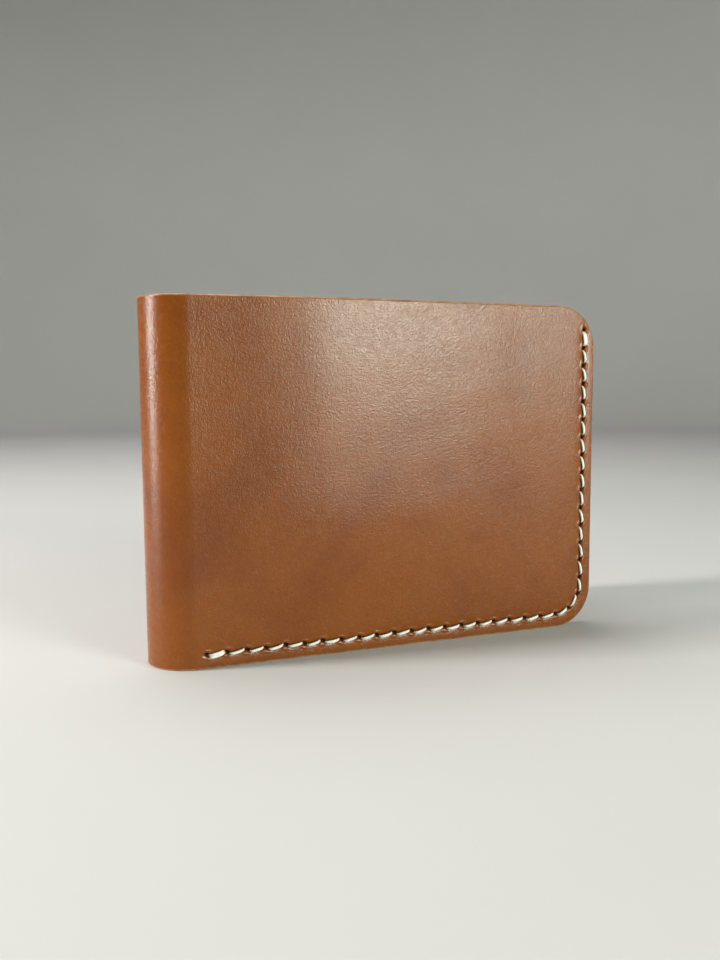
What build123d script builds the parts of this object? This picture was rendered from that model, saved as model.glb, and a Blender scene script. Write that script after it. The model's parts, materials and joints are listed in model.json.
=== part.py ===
"""Bifold wallet in vegetable-tanned leather, standing on its long edge and slightly open.

Frame: +Z up, the two halves run along +X from the round spine, and the wallet is symmetric about
the plane Y = 0, with the front half on the -Y side. The origin is at the bottom centre.

Each half is a stack of flat leather pieces: a cover, a cash pocket panel, two T-shaped card slot
panels and a card pocket. One half has its own coordinates: run is the distance along the half from
the spine, rise is the height, and level is the distance outwards from the centre of the spine bend.
"""

import os
from math import atan2, cos, degrees, radians, sin

from build123d import *

# Overall size, in millimetres and degrees.
HEIGHT = 90.0
HALF_LENGTH = 113.5  # flat part of one cover, from the end of the spine bend to the opening edge
SPINE_RADIUS = 10.3  # outside of the spine bend
OPENING = 12.0  # angle between the halves at rest
COVER_THICKNESS = 1.8
CORNER_TOP = 11.5
CORNER_BOTTOM = 11.0
BURNISH = 0.5  # rounding of the cut leather edges

# The spine is one strip of leather that flexes. It is cut into strips that hinge on each other.
HINGES = 6
HINGE_GAP = 0.5  # slit between strips, at the outside of the bend

# Pocket leather and the room that one card or a few notes take.
PANEL_THICKNESS = 1.0
SLOT_LEATHER = 0.8
CARD_ROOM = 0.8
CASH_PANEL_HEIGHT = 86.0
CASH_PANEL_CORNER = 5.0
POCKET_START = -1.0  # the pocket pieces reach a little past the end of the spine bend
SLOT_STEP = 12.0  # each slot's lip stands this far above the next one
UPPER_LIP = 74.0
MIDDLE_LIP = UPPER_LIP - SLOT_STEP
LOWER_LIP = MIDDLE_LIP - SLOT_STEP
SLOT_DEPTH = 50.0  # from a slot's lip down to the foot of its panel
WING_HEIGHT = 14.0
WING_GAP = 0.5  # between the wing of one slot panel and that of the next
STEM_INSET = 10.0
SIDE_MARGIN = 6.0  # width of leather that is sewn down along a side
BOTTOM_MARGIN = 7.0
FOOT_MARGIN = 4.0
STEP_WIDTH = 1.0  # where the leather steps up from its margin to its face

# Sewing: saddle stitch through slanted slits.
STITCHES = 37
SEAM_START = (2.3, 3.5)
SEAM_INSET_SIDE = 3.4
SEAM_INSET_BOTTOM = 3.5
SEAM_CORNER = 8.0
SEAM_TOP = 83.7
THREAD_RADIUS = 0.35
THREAD_BEND = 0.4
THREAD_LEG = 0.7
STITCH_SLANT = 0.42  # how far each end of a stitch stands off the seam line
SLIT_LENGTH = 1.7
SLIT_WIDTH = 0.95
SLIT_LEAN = 20.0  # degrees from square to the seam
INNER_SEAM_STITCHES = 14
FOOT_SEAM_STITCHES = 17
FOOT_SEAM_INSET = 3.0

# Sizes that follow from the ones above.
HALF_ANGLE = OPENING / 2
BEND = 180.0 - OPENING
HINGE_BEND = BEND / HINGES
COVER_INSIDE = SPINE_RADIUS - COVER_THICKNESS
NEUTRAL_RADIUS = SPINE_RADIUS - COVER_THICKNESS / 2
GAP_ANGLE = degrees(HINGE_GAP / SPINE_RADIUS)
CASH_OUTSIDE = COVER_INSIDE - CARD_ROOM
CASH_INSIDE = CASH_OUTSIDE - PANEL_THICKNESS
UPPER_OUTSIDE = CASH_INSIDE - CARD_ROOM
MIDDLE_OUTSIDE = UPPER_OUTSIDE - SLOT_LEATHER - CARD_ROOM
POCKET_OUTSIDE = MIDDLE_OUTSIDE - SLOT_LEATHER - CARD_ROOM
POCKET_INSIDE = POCKET_OUTSIDE - PANEL_THICKNESS
MARGIN_INSIDE = CASH_INSIDE - SLOT_LEATHER
FAR_REACH = HALF_LENGTH * cos(radians(HALF_ANGLE)) - MARGIN_INSIDE * sin(radians(HALF_ANGLE))
SPINE_X = (SPINE_RADIUS - FAR_REACH) / 2


def half_plane(level):
    """The plane of the front half at a level: its x is the run, its y the rise, its z outwards."""
    along = Vector(cos(radians(HALF_ANGLE)), -sin(radians(HALF_ANGLE)), 0)
    outwards = Vector(-sin(radians(HALF_ANGLE)), -cos(radians(HALF_ANGLE)), 0)
    return Plane(origin=Vector(SPINE_X, 0, 0) + outwards * level, x_dir=along, z_dir=outwards)


def spine_direction(angle):
    """Unit vector from the centre of the bend, at an angle from the start of the rear cover's bend."""
    turned = radians(90 + HALF_ANGLE + angle)
    return Vector(cos(turned), sin(turned), 0)


def rectangle(run_from, run_to, rise_from, rise_to, mode=Mode.ADD):
    """A rectangle given by its limits, in the sketch that is being built."""
    with Locations(((run_from + run_to) / 2, (rise_from + rise_to) / 2)):
        Rectangle(run_to - run_from, rise_to - rise_from, mode=mode)


def add_block(level_from, level_to, run_from, run_to, rise_from, rise_to):
    """Adds a block of leather between two levels to the part that is being built."""
    with BuildSketch(half_plane(level_from)) as outline:
        rectangle(run_from, run_to, rise_from, rise_to)
    extrude(outline.sketch, amount=level_to - level_from)


def trim_corner(centre_rise, radius):
    """Rounds an outer corner of the piece that is being built. The corner is above or below its centre."""
    far_rise = centre_rise + radius if centre_rise > HEIGHT / 2 else centre_rise - radius
    with BuildSketch(half_plane(0)) as waste:
        low, high = sorted((centre_rise, far_rise))
        rectangle(HALF_LENGTH - radius, HALF_LENGTH + 1, low, high)
        with Locations((HALF_LENGTH - radius, centre_rise)):
            Circle(radius, mode=Mode.SUBTRACT)
    extrude(waste.sketch, amount=SPINE_RADIUS + 1, mode=Mode.SUBTRACT)


def seam_stations():
    """(run, rise, direction in degrees) of each slit of the seam round the bottom and the side."""
    with BuildLine() as seam:
        FilletPolyline(
            SEAM_START,
            (HALF_LENGTH - SEAM_INSET_SIDE, SEAM_INSET_BOTTOM),
            (HALF_LENGTH - SEAM_INSET_SIDE, SEAM_TOP),
            radius=SEAM_CORNER,
        )
    stations = []
    for i in range(STITCHES + 1):
        point = seam.wires()[0] @ (i / STITCHES)
        tangent = seam.wires()[0] % (i / STITCHES)
        direction = degrees(atan2(tangent.Y, tangent.X))
        stations.append((point.X, point.Y, direction))
    return stations


def straight_stations(start, end, stitches):
    """(run, rise, direction in degrees) of each slit of a straight seam."""
    step = ((end[0] - start[0]) / stitches, (end[1] - start[1]) / stitches)
    direction = 90.0 if step[1] else 0.0
    return [(start[0] + step[0] * i, start[1] + step[1] * i, direction) for i in range(stitches + 1)]


OUTER_SEAM = seam_stations()
INNER_SEAM = straight_stations(
    SEAM_START, (SEAM_START[0], UPPER_LIP - 1.5), INNER_SEAM_STITCHES
)


def foot_seam(lip):
    """The seam across the foot of a card slot panel."""
    rise = lip - SLOT_DEPTH + FOOT_MARGIN / 2
    start = POCKET_START + STEM_INSET + FOOT_SEAM_INSET
    end = HALF_LENGTH - STEM_INSET - FOOT_SEAM_INSET
    return straight_stations((start, rise), (end, rise), FOOT_SEAM_STITCHES)


def slit_axis(direction):
    """Unit vector (run, rise) along a slit, which leans back from square to its seam."""
    turned = radians(direction + 90 + SLIT_LEAN)
    return Vector(cos(turned), sin(turned))


def cut_slits(stations):
    """Cuts slanted slits through the piece that is being built."""
    with BuildSketch(half_plane(0)) as slits:
        for run, rise, direction in stations:
            with Locations((run, rise)):
                SlotOverall(SLIT_LENGTH, SLIT_WIDTH, rotation=direction + 90 + SLIT_LEAN)
    extrude(slits.sketch, amount=SPINE_RADIUS + 1, mode=Mode.SUBTRACT)


def make_bend(angle_from, angle_to):
    """A piece of the spine bend, with burnished upper and lower edges."""
    centre = Vector(SPINE_X, 0, 0)
    angles = (angle_from, (angle_from + angle_to) / 2, angle_to)
    with BuildPart() as bend:
        with BuildSketch():
            with BuildLine():
                outside = ThreePointArc(*[centre + spine_direction(a) * SPINE_RADIUS for a in angles])
                inside = ThreePointArc(*[centre + spine_direction(a) * COVER_INSIDE for a in angles])
                Line(outside @ 0, inside @ 0)
                Line(outside @ 1, inside @ 1)
            make_face()
        extrude(amount=HEIGHT)
        fillet(bend.edges().filter_by(GeomType.CIRCLE), BURNISH)
    return bend.part


def make_cover():
    """One half of the outer leather, with its share of the spine bend."""
    bend = make_bend(BEND - HINGE_BEND / 2 + GAP_ANGLE / 2, BEND)
    face = half_plane(0)
    with BuildPart() as cover:
        add_block(COVER_INSIDE, SPINE_RADIUS, 0, HALF_LENGTH, 0, HEIGHT)
        trim_corner(HEIGHT - CORNER_TOP, CORNER_TOP)
        trim_corner(CORNER_BOTTOM, CORNER_BOTTOM)
        rims = cover.faces().filter_by(face).edges().sort_by(Axis(face.origin, face.x_dir))
        fillet(rims[2:], BURNISH)
        add(bend)
        cut_slits(OUTER_SEAM)
    return cover.part


def make_cash_panel():
    """The wall of the cash pocket. Its thicker margin meets the cover along the bottom and the side."""
    with BuildPart() as panel:
        add_block(CASH_OUTSIDE, CASH_INSIDE, POCKET_START, HALF_LENGTH, 0, CASH_PANEL_HEIGHT)
        add_block(COVER_INSIDE, CASH_OUTSIDE, 0, HALF_LENGTH, 0, BOTTOM_MARGIN)
        side = HALF_LENGTH - SIDE_MARGIN
        add_block(COVER_INSIDE, CASH_OUTSIDE, side, HALF_LENGTH, 0, CASH_PANEL_HEIGHT)
        trim_corner(CASH_PANEL_HEIGHT - CASH_PANEL_CORNER, CASH_PANEL_CORNER)
        trim_corner(CORNER_BOTTOM, CORNER_BOTTOM)
        cut_slits(OUTER_SEAM + INNER_SEAM[1:] + foot_seam(UPPER_LIP) + foot_seam(MIDDLE_LIP))
    return panel.part


def add_sewn_sides(inside, rise_from, step_from, rise_to):
    """Adds the two side margins of a pocket, and the steps up from them to the pocket's face."""
    for margin, step in (
        (POCKET_START, POCKET_START + SIDE_MARGIN),
        (HALF_LENGTH - SIDE_MARGIN, HALF_LENGTH - SIDE_MARGIN - STEP_WIDTH),
    ):
        add_block(CASH_INSIDE, MARGIN_INSIDE, margin, margin + SIDE_MARGIN, rise_from, rise_to)
        add_block(CASH_INSIDE, inside, step, step + STEP_WIDTH, step_from, rise_to)


def make_slot_panel(lip, outside):
    """A T-shaped card slot panel: its wings are sewn at both sides and its stem at its foot."""
    inside = outside - SLOT_LEATHER
    wing = lip - WING_HEIGHT
    foot = lip - SLOT_DEPTH
    step = foot + FOOT_MARGIN
    stem = (POCKET_START + STEM_INSET, HALF_LENGTH - STEM_INSET)
    side_top = lip if lip == UPPER_LIP else lip + SLOT_STEP - WING_HEIGHT
    with BuildPart() as panel:
        add_block(outside, inside, POCKET_START + SIDE_MARGIN, HALF_LENGTH - SIDE_MARGIN, wing, lip)
        add_block(outside, inside, *stem, step, wing)
        add_block(CASH_INSIDE, inside, *stem, step, step + STEP_WIDTH)
        add_block(CASH_INSIDE, MARGIN_INSIDE, *stem, foot, step)
        add_sewn_sides(inside, wing + WING_GAP, wing + WING_GAP, side_top)
        cut_slits(OUTER_SEAM + INNER_SEAM[1:] + foot_seam(lip))
    return panel.part


def make_card_pocket():
    """The lowest card pocket, sewn along the bottom and both sides."""
    face = (POCKET_START + SIDE_MARGIN, HALF_LENGTH - SIDE_MARGIN)
    with BuildPart() as pocket:
        add_block(POCKET_OUTSIDE, POCKET_INSIDE, *face, BOTTOM_MARGIN, LOWER_LIP)
        add_block(CASH_INSIDE, POCKET_INSIDE, *face, BOTTOM_MARGIN, BOTTOM_MARGIN + STEP_WIDTH)
        add_block(CASH_INSIDE, MARGIN_INSIDE, *face, 0, BOTTOM_MARGIN)
        add_sewn_sides(POCKET_INSIDE, 0, BOTTOM_MARGIN, LOWER_LIP + SLOT_STEP - WING_HEIGHT)
        trim_corner(CORNER_BOTTOM, CORNER_BOTTOM)
        cut_slits(OUTER_SEAM + INNER_SEAM[1:])
    return pocket.part


def make_stitch(start, end, level, outwards):
    """One stitch that lies on a face at a level and dips into a slit at each end."""
    first = Vector(*start[:2]) - slit_axis(start[2]) * STITCH_SLANT
    last = Vector(*end[:2]) + slit_axis(end[2]) * STITCH_SLANT
    top = Vector(0, 0, level + outwards * THREAD_RADIUS)
    deep = Vector(0, 0, level - outwards * THREAD_LEG)
    corners = [first + deep, first + top, last + top, last + deep]
    place = half_plane(0).from_local_coords
    with BuildPart() as stitch:
        with BuildLine() as path:
            FilletPolyline(*[place(corner) for corner in corners], radius=THREAD_BEND)
        with BuildSketch(Plane(origin=path.line @ 0, z_dir=path.line % 0)):
            Circle(THREAD_RADIUS)
        sweep()
    return stitch.part


def seam_inside(rise):
    """The level of the innermost leather along the side seams, at a rise."""
    return MARGIN_INSIDE if rise < UPPER_LIP else CASH_INSIDE


def make_thread(stations, outside, inside_at):
    """The stitches of one seam, on both faces of the leather that it goes through."""
    stitches = []
    for start, end in zip(stations, stations[1:]):
        stitches.append(make_stitch(start, end, outside, 1))
        inside = min(inside_at(start[1]), inside_at(end[1]))
        stitches.append(make_stitch(start, end, inside, -1))
    return Compound(children=stitches)


def make_half():
    """Every piece of the front half, by name."""
    return {
        "cover": make_cover(),
        "cash_panel": make_cash_panel(),
        "upper_slot_panel": make_slot_panel(UPPER_LIP, UPPER_OUTSIDE),
        "middle_slot_panel": make_slot_panel(MIDDLE_LIP, MIDDLE_OUTSIDE),
        "card_pocket": make_card_pocket(),
        "outer_seam_thread": make_thread(OUTER_SEAM, SPINE_RADIUS, seam_inside),
        "inner_seam_thread": make_thread(INNER_SEAM[1:], CASH_OUTSIDE, seam_inside),
        "upper_slot_thread": make_thread(
            foot_seam(UPPER_LIP), CASH_OUTSIDE, lambda rise: UPPER_OUTSIDE - SLOT_LEATHER
        ),
        "middle_slot_thread": make_thread(
            foot_seam(MIDDLE_LIP), CASH_OUTSIDE, lambda rise: MIDDLE_OUTSIDE - SLOT_LEATHER
        ),
    }


def write(name, shape):
    """Labels a finished piece and writes it."""
    shape.label = name
    export_step(shape, f"parts/{name}.step")


os.makedirs("parts", exist_ok=True)
for piece, shape in make_half().items():
    write(f"front_{piece}", shape)
    write(f"rear_{piece}", mirror(shape, about=Plane.XZ))
for number in range(1, HINGES):
    start = (number - 0.5) * HINGE_BEND + GAP_ANGLE / 2
    write(f"spine_strip_{number}", make_bend(start, start + HINGE_BEND - GAP_ANGLE))

# The hinge lines stand where the middle of the leather keeps its length as it bends and straightens.
hinge_reach = NEUTRAL_RADIUS * radians(HINGE_BEND / 2) / sin(radians(HINGE_BEND / 2))
for number in range(HINGES):
    hinge = Vector(SPINE_X, 0, 0) + spine_direction((number + 0.5) * HINGE_BEND) * hinge_reach
    print(f"hinge {number + 1} at x {hinge.X:.4f}, y {hinge.Y:.4f}")
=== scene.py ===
"""Looks of the bifold wallet: smooth tan leather, burnished edges and an off-white saddle stitch.

Every leather piece is a sheet that is cut in its own flat coordinates, in millimetres. u runs along
the leather from the end of the spine bend, and is negative round the bend. rise is the height, and
level is the distance outwards from the centre of the bend. place() bends the sheet to its shape.
"""

import json

import bmesh
import bpy
import numpy as np
from mathutils import Matrix, Vector
from mathutils.geometry import delaunay_2d_cdt


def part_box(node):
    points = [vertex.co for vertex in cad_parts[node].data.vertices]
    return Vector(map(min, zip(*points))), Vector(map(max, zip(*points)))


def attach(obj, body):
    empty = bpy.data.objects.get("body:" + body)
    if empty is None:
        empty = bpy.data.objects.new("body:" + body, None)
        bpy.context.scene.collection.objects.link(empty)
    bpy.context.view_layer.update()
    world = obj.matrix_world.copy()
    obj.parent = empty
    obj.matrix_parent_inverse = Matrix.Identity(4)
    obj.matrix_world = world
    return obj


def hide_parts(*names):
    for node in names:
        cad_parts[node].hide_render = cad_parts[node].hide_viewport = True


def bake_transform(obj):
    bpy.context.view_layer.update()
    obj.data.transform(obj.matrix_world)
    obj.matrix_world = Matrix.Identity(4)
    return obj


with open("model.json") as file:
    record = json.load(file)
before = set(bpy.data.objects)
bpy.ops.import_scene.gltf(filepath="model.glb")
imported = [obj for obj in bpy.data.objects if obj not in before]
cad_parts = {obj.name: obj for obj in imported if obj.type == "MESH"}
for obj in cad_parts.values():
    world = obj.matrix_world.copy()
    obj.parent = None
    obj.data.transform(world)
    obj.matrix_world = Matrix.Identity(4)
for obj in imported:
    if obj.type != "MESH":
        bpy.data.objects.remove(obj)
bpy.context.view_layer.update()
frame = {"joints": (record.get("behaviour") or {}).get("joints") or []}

MM = 0.001

# The CAD part's sizes, in millimetres and radians.
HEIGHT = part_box("spine_strip_3")[1].z / MM
HALF_LENGTH = 113.5
SPINE_RADIUS = 10.3
HALF_ANGLE = np.radians(6.0)
HINGES = len(frame["joints"])
HINGE_BEND = (np.pi - 2 * HALF_ANGLE) / HINGES
SPINE_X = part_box("spine_strip_3")[0].x / MM + SPINE_RADIUS
COVER_THICKNESS = 1.8
COVER_INSIDE = SPINE_RADIUS - COVER_THICKNESS
CORNER_TOP = 11.5
CORNER_BOTTOM = 11.0

# Pocket leather: levels are of the middle of each sheet, where it stands away from its sewn edges.
PANEL_THICKNESS = 1.0
SLOT_LEATHER = 0.8
CASH_LEVEL = 7.2
CASH_SEWN_LEVEL = COVER_INSIDE - PANEL_THICKNESS / 2
CASH_TOP = 86.0
CASH_CORNER = 5.0
UPPER_LEVEL = 5.5
MIDDLE_LEVEL = 3.9
POCKET_LEVEL = 2.2
POCKET_START = -1.0
UPPER_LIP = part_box("front_upper_slot_panel")[1].z / MM
MIDDLE_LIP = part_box("front_middle_slot_panel")[1].z / MM
LOWER_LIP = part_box("front_card_pocket")[1].z / MM
SLOT_DEPTH = 50.0
WING_HEIGHT = 11.8
STEM_INSET = 10.0
SIDE_MARGIN = 5.5
FOOT_MARGIN = 4.0
RAMP = 6.0

# Sewing: the CAD seam, with a hand's small unevenness.
STITCHES = 37
SEAM_START = 2.3
SEAM_INSET_SIDE = 3.4
SEAM_INSET_BOTTOM = 3.5
SEAM_CORNER = 8.0
SEAM_TOP = 83.7
SEAM_UNEVEN = 0.07
SEAM_SEED = 5
INNER_SEAM_STITCHES = 14
FOOT_STITCHES = 17
FOOT_SEAM_INSET = 3.0
STITCH_SLANT = 0.40  # how far each end of a stitch stands off the seam line
STITCH_GAP = 0.58  # from a station to the end of its stitch
DOUBLED_GAP = 0.45
HOLE_ALONG = 0.92  # half sizes of an open slit
HOLE_ACROSS = 0.62
HOLE_SHIFT = 0.16
HOLE_DEPTH = 1.15
GROOVE_DEPTH = 0.34  # under each stitch
GROOVE_WIDTH = 0.46
CHANNEL_DEPTH = 0.20  # pressed along the whole seam
CHANNEL_WIDTH = 1.4
RIM_HEIGHT = 0.12  # leather pushed up round each slit

FRONT, REAR = -1, 1
OUT, IN = 1, -1
SIDE_NAMES = {FRONT: "front", REAR: "rear"}


# Bending flat leather to its place.

def place(u, rise, level, side):
    """Points in the frame, in metres, from the leather's own coordinates."""
    turn = HALF_ANGLE + np.maximum(-u, 0) / SPINE_RADIUS
    run = np.maximum(u, 0)
    x = SPINE_X + run * np.cos(HALF_ANGLE) - level * np.sin(turn)
    y = run * np.sin(HALF_ANGLE) + level * np.cos(turn)
    return np.stack([x, side * y, rise + 0 * x], -1) * MM


def smooth(value, low, high):
    """0 below low, 1 above high, and a smooth step between."""
    t = np.clip((value - low) / (high - low), 0, 1)
    return t * t * (3 - 2 * t)


SWAY_WAVES = 5


def sway(u, rise, seed, length, depth):
    """Gentle unevenness of flat leather: a few crossing waves, the same on every run."""
    random = np.random.default_rng(seed)
    total = 0 * u
    for _ in range(SWAY_WAVES):
        heading, phase = random.uniform(0, 2 * np.pi, 2)
        wave = length * random.uniform(0.7, 1.5)
        along = u * np.cos(heading) + rise * np.sin(heading)
        total = total + np.sin(along * 2 * np.pi / wave + phase)
    return total * depth / SWAY_WAVES


# Seams. A seam is a list of stations, the slits that its stitches pass through.

def outer_seam():
    """Stations along the bottom, round the corner and up the side."""
    side = HALF_LENGTH - SEAM_INSET_SIDE
    straight = side - SEAM_CORNER - SEAM_START
    bend = SEAM_CORNER * np.pi / 2
    length = straight + bend + SEAM_TOP - SEAM_INSET_BOTTOM - SEAM_CORNER
    along = np.linspace(0, length, STITCHES + 1)
    turn = np.clip((along - straight) / SEAM_CORNER, 0, np.pi / 2)
    u = SEAM_START + np.minimum(along, straight) + SEAM_CORNER * np.sin(turn)
    rise = SEAM_INSET_BOTTOM + SEAM_CORNER * (1 - np.cos(turn))
    rise = rise + np.maximum(along - straight - bend, 0)
    uneven = np.random.default_rng(SEAM_SEED).normal(0, SEAM_UNEVEN, (STITCHES + 1, 2))
    return np.stack([u, rise], -1) + uneven


def straight_seam(start, end, stitches):
    """Evenly spaced stations from start to end."""
    return np.linspace(start, end, stitches + 1)


def foot_seam(lip):
    """The seam across the foot of a card slot panel."""
    rise = lip - SLOT_DEPTH + FOOT_MARGIN / 2
    start = POCKET_START + STEM_INSET + FOOT_SEAM_INSET
    end = HALF_LENGTH - STEM_INSET - FOOT_SEAM_INSET
    return straight_seam((start, rise), (end, rise), FOOT_STITCHES)


OUTER_SEAM = outer_seam()
# The inner seam starts one stitch above the corner where the outer seam starts.
INNER_SEAM = straight_seam(
    (SEAM_START, SEAM_INSET_BOTTOM), (SEAM_START, UPPER_LIP - 1.5), INNER_SEAM_STITCHES
)[1:]


def seam_tangents(stations):
    """Unit direction of the seam at each station."""
    ahead = np.gradient(stations, axis=0)
    return ahead / np.linalg.norm(ahead, axis=1)[:, None]


SEAM_REACH = 4  # further than this from its stations, a seam leaves the face as it is


def seam_relief(u, rise, stations, lean):
    """(height, darkness) that a seam gives to a face: grooves under the stitches and open slits."""
    height, dark = 0 * u, 0 * u
    low, high = stations.min(0) - SEAM_REACH, stations.max(0) + SEAM_REACH
    near = (u > low[0]) & (u < high[0]) & (rise > low[1]) & (rise < high[1])
    points = np.stack([u[near], rise[near]], -1)
    if not len(points):
        return height, dark
    band = np.full(len(points), np.inf)
    groove = np.zeros(len(points))
    for start, end in zip(stations, stations[1:]):
        chord = end - start
        length = np.linalg.norm(chord)
        chord = chord / length
        offset = points - start
        share = np.clip(offset @ chord / length, 0, 1)
        off = offset - share[:, None] * chord * length
        across = chord[0] * off[:, 1] - chord[1] * off[:, 0]
        distance = np.linalg.norm(off, axis=1)
        mid = lean * STITCH_SLANT * (2 * share - 1)
        inside = smooth(share, 0.02, 0.14) * (1 - smooth(share, 0.86, 0.98))
        this = inside * np.exp(-(((across - mid) / GROOVE_WIDTH) ** 2)) * (distance < 2.5)
        groove = np.maximum(groove, this)
        band = np.minimum(band, distance)
    rim = np.zeros(len(points))
    hole = np.zeros(len(points))
    for station, tangent in zip(stations, seam_tangents(stations)):
        offset = points - station
        along = offset @ tangent
        across = lean * (tangent[0] * offset[:, 1] - tangent[1] * offset[:, 0]) - HOLE_SHIFT
        slit = (np.abs(along + 0.25 * across) / HOLE_ALONG) + np.abs(across) / HOLE_ACROSS
        hole = np.maximum(hole, 1 - smooth(slit, 0.55, 1.15))
        ring = np.exp(-(((np.hypot(along / 1.25, across) - 0.95) / 0.34) ** 2))
        rim = np.maximum(rim, ring * smooth(np.abs(across), 0.1, 0.8))
    channel = np.exp(-((band / CHANNEL_WIDTH) ** 2))
    pressed = -CHANNEL_DEPTH * channel - GROOVE_DEPTH * groove
    height[near] = pressed - HOLE_DEPTH * hole + RIM_HEIGHT * rim
    dark[near] = np.maximum(hole, 0.70 * groove)
    return height, dark


# Cutting leather sheets.

EDGE_SHARES = (0.0, 0.13, 0.5, 1.0)  # rows of points across the rounding of a cut edge
EDGE_BULGE = 0.05  # how far the middle of a cut edge stands out
SHARED_ROWS = 60  # rows of points along the line where a cover and the spine meet
SHARED_INSET = 0.7  # from the edge's rounding to the first of them
EDGE_COLOUR_WIDTH = 1.1  # the burnish's colour reaches this far in from the edge
CHUNK = 4000  # points measured at a time, to save memory


def offset_line(points, distance, closed):
    """The line moved to its left, with mitred corners. An open line keeps the u of its two ends."""
    ahead = np.roll(points, -1, 0) - points
    if not closed:
        ahead[-1] = ahead[-2]
    ahead = ahead / np.linalg.norm(ahead, axis=1)[:, None]
    left = np.stack([-ahead[:, 1], ahead[:, 0]], -1)
    before = np.roll(left, 1, 0)
    if not closed:
        before[0] = left[0]
    mitre = (left + before) / (1 + (left * before).sum(1))[:, None]
    return points + mitre * distance


def edge_distance(points, line, closed):
    """Distance of each point from the cut edge."""
    ends = np.roll(line, -1, 0) if closed else line[1:]
    starts = line if closed else line[:-1]
    chord = ends - starts
    squared = (chord**2).sum(1)
    result = np.empty(len(points))
    for first in range(0, len(points), CHUNK):
        offset = points[first : first + CHUNK, None] - starts
        share = np.clip((offset * chord).sum(2) / squared, 0, 1)
        off = offset - share[..., None] * chord
        result[first : first + CHUNK] = np.linalg.norm(off, axis=2).min(1)
    return result


def grid(u_range, rise_range, u_step, rise_step):
    """Points of a rectangular grid."""
    lines = []
    for (low, high), step in ((u_range, u_step), (rise_range, rise_step)):
        lines.append(np.linspace(low, high, max(2, int(round((high - low) / step)) + 1)))
    us, rises = lines
    return np.stack(np.meshgrid(us, rises), -1).reshape(-1, 2)


def seam_points(stations, step, reach):
    """Dense points in a band along a seam."""
    rows = []
    lengths = np.linalg.norm(np.diff(stations, axis=0), axis=1)
    path = np.concatenate([[0], np.cumsum(lengths)])
    tangents = seam_tangents(stations)
    count = int((path[-1] + 2 * reach) / step)
    along = np.linspace(-reach, path[-1] + reach, count)
    inside = np.clip(along, 0, path[-1])
    beyond = along - inside
    centre = np.stack([np.interp(inside, path, stations[:, i]) for i in (0, 1)], -1)
    tangent = np.stack([np.interp(inside, path, tangents[:, i]) for i in (0, 1)], -1)
    tangent = tangent / np.linalg.norm(tangent, axis=1)[:, None]
    centre = centre + tangent * beyond[:, None]
    normal = np.stack([-tangent[:, 1], tangent[:, 0]], -1)
    for across in np.arange(-reach, reach + step / 2, step):
        rows.append(centre + normal * across)
    return np.concatenate(rows)


def thin_out(coarse, fine, clearance):
    """Drops coarse points that lie among fine ones."""
    cells = {tuple(c) for c in np.floor(fine / clearance).astype(int)}
    keep = []
    for point, cell in zip(coarse, np.floor(coarse / clearance).astype(int)):
        around = [(cell[0] + i, cell[1] + j) for i in (-1, 0, 1) for j in (-1, 0, 1)]
        if not cells.intersection(around):
            keep.append(point)
    return np.array(keep) if keep else np.empty((0, 2))


def cut_sheet(outline, closed, burnish, inner):
    """Triangulates a sheet. Gives its points, its triangles and the indices of its cut edge."""
    points, edges = [], []
    for share in EDGE_SHARES:
        line = offset_line(outline, share * burnish, closed) if share else outline
        first = len(points)
        points.extend(map(tuple, line))
        edges.extend((first + i, first + i + 1) for i in range(len(line) - 1))
        if closed:
            edges.append((first + len(line) - 1, first))
    count = len(outline)
    if not closed:
        rows = range(len(EDGE_SHARES))
        ends = [i * count for i in rows] + [i * count + count - 1 for i in rows]
        inset = burnish + SHARED_INSET
        for rise in np.linspace(inset, HEIGHT - inset, SHARED_ROWS):
            ends.append(len(points))
            points.append((outline[0][0], rise))
        ends.sort(key=lambda i: points[i][1])
        edges.extend(zip(ends, ends[1:]))
    distance = edge_distance(inner, outline, closed)
    keep = (distance > burnish + 0.12) & inside_outline(inner, outline)
    points.extend(map(tuple, inner[keep]))
    made = delaunay_2d_cdt([Vector(p) for p in points], edges, [], 1, 1e-6)
    index = {}
    for new, olds in enumerate(made[3]):
        for old in olds:
            index[old] = new
    rim = np.array([index[i] for i in range(count)])
    flat = np.array([tuple(p) for p in made[0]])
    faces = np.array([f for f in made[2] if len(f) == 3])
    corner = flat[faces]
    first, second = corner[:, 1] - corner[:, 0], corner[:, 2] - corner[:, 0]
    area = first[:, 0] * second[:, 1] - first[:, 1] * second[:, 0]
    faces[area < 0] = faces[area < 0][:, ::-1]
    return flat, faces[np.abs(area) > 1e-9], rim


def inside_outline(points, outline):
    """True for the points that the outline encloses."""
    inside = np.zeros(len(points), bool)
    for a, b in zip(outline, np.roll(outline, -1, 0)):
        crosses = (a[1] > points[:, 1]) != (b[1] > points[:, 1])
        rise = b[1] - a[1] if b[1] != a[1] else 1.0
        inside ^= crosses & (points[:, 0] < (b[0] - a[0]) * (points[:, 1] - a[1]) / rise + a[0])
    return inside


def arc(centre, radius, start, end, count):
    """Points of an arc, its angles in degrees."""
    angles = np.radians(np.linspace(start, end, count))
    return [(centre[0] + radius * np.cos(a), centre[1] + radius * np.sin(a)) for a in angles]


def divide(points, step):
    """The line with points added so that none is further than step from the next."""
    result = []
    for a, b in zip(points, points[1:]):
        a, b = np.array(a), np.array(b)
        parts = max(1, int(np.ceil(np.linalg.norm(b - a) / step)))
        result.extend(a + (b - a) * i / parts for i in range(parts))
    result.append(np.array(points[-1]))
    return np.array(result)


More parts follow.
